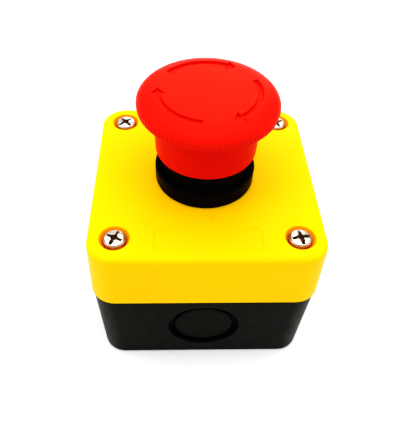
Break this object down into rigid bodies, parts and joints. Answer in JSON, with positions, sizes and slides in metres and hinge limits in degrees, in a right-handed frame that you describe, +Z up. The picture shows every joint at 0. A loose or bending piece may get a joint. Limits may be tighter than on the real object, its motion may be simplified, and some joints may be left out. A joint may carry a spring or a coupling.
{
  "type": "emergency stop push button station",
  "caption": "Square surface-mounted box with a yellow lid and black base carrying a red twist-release mushroom push button that latches when pressed.",
  "frame": {"origin": "centre of the enclosure underside, on the button axis", "axes": "+Z up along the button axis, -Y towards the front cable knock-out, +X to the right seen from the front"},
  "size_m": [0.0702, 0.0702, 0.084],
  "materials": {
    "yellow_plastic": "satin moulded ABS",
    "black_plastic": "satin moulded plastic",
    "red_plastic": "satin gloss moulded plastic",
    "grey_plastic": "moulded nylon",
    "white_plastic": "moulded acetal",
    "green_plastic": "moulded polyamide",
    "red_block_plastic": "moulded polyamide",
    "black_rubber": "matt rubber",
    "plated_steel": "nickel plated",
    "spring_steel": "drawn wire",
    "brass": "rolled strip",
    "silver_alloy": "silver plated"
  },
  "bodies": {
    "enclosure": {"enclosure_base": "black_plastic", "enclosure_lid": "yellow_plastic", "lid_seal": "black_rubber", "operator_housing": "black_plastic", "panel_gasket": "black_rubber", "panel_nut": "grey_plastic", "latch_ring": "spring_steel", "mounting_collar": "black_plastic", "collar_screw_1": "plated_steel", "collar_screw_2": "plated_steel", "spindle_seal": "black_rubber", "return_spring": "spring_steel", "lid_screw_1": "plated_steel", "lid_screw_2": "plated_steel", "lid_screw_3": "plated_steel", "lid_screw_4": "plated_steel", "nc_block_housing": "red_block_plastic", "nc_block_cover": "red_block_plastic", "nc_spring": "spring_steel", "nc_contact_1": "brass", "nc_clamp_1": "plated_steel", "nc_terminal_screw_1": "plated_steel", "nc_contact_2": "brass", "nc_clamp_2": "plated_steel", "nc_terminal_screw_2": "plated_steel", "no_block_housing": "green_plastic", "no_block_cover": "green_plastic", "no_spring": "spring_steel", "no_contact_1": "brass", "no_clamp_1": "plated_steel", "no_terminal_screw_1": "plated_steel", "no_contact_2": "brass", "no_clamp_2": "plated_steel", "no_terminal_screw_2": "plated_steel"},
    "pusher": {"pusher": "white_plastic", "twist_spring": "spring_steel"},
    "head": {"mushroom_head": "red_plastic", "head_spindle": "white_plastic", "spindle_clip": "spring_steel"},
    "nc_plunger_set": {"nc_plunger": "white_plastic", "nc_bridge": "silver_alloy"},
    "no_plunger_set": {"no_plunger": "white_plastic", "no_bridge": "silver_alloy"}
  },
  "joints": [
    {"name": "press", "type": "slide", "parent": "enclosure", "child": "pusher", "axis": [0, 0, -1], "range_m": [0, 0.0055], "stiffness_N_per_m": 2000, "springref_m": -0.012, "deforming": ["return_spring"]},
    {"name": "twist", "type": "hinge", "parent": "pusher", "child": "head", "pos_m": [0, 0, 0.058], "axis": [0, 0, -1], "range_deg": [0, 45], "stiffness_Nm_per_rad": 0.05, "springref_deg": -28.65},
    {"name": "nc_slide", "type": "slide", "parent": "enclosure", "child": "nc_plunger_set", "axis": [0, 0, -1], "range_m": [0, 0.0055], "stiffness_N_per_m": 250, "springref_m": -0.008, "deforming": ["nc_spring"]},
    {"name": "no_slide", "type": "slide", "parent": "enclosure", "child": "no_plunger_set", "axis": [0, 0, -1], "range_m": [0, 0.0055], "stiffness_N_per_m": 250, "springref_m": -0.008, "deforming": ["no_spring"]}
  ],
  "couplings": [
    {"joint": "nc_slide", "follows": "press", "ratio": 1},
    {"joint": "no_slide", "follows": "press", "ratio": 1}
  ]
}
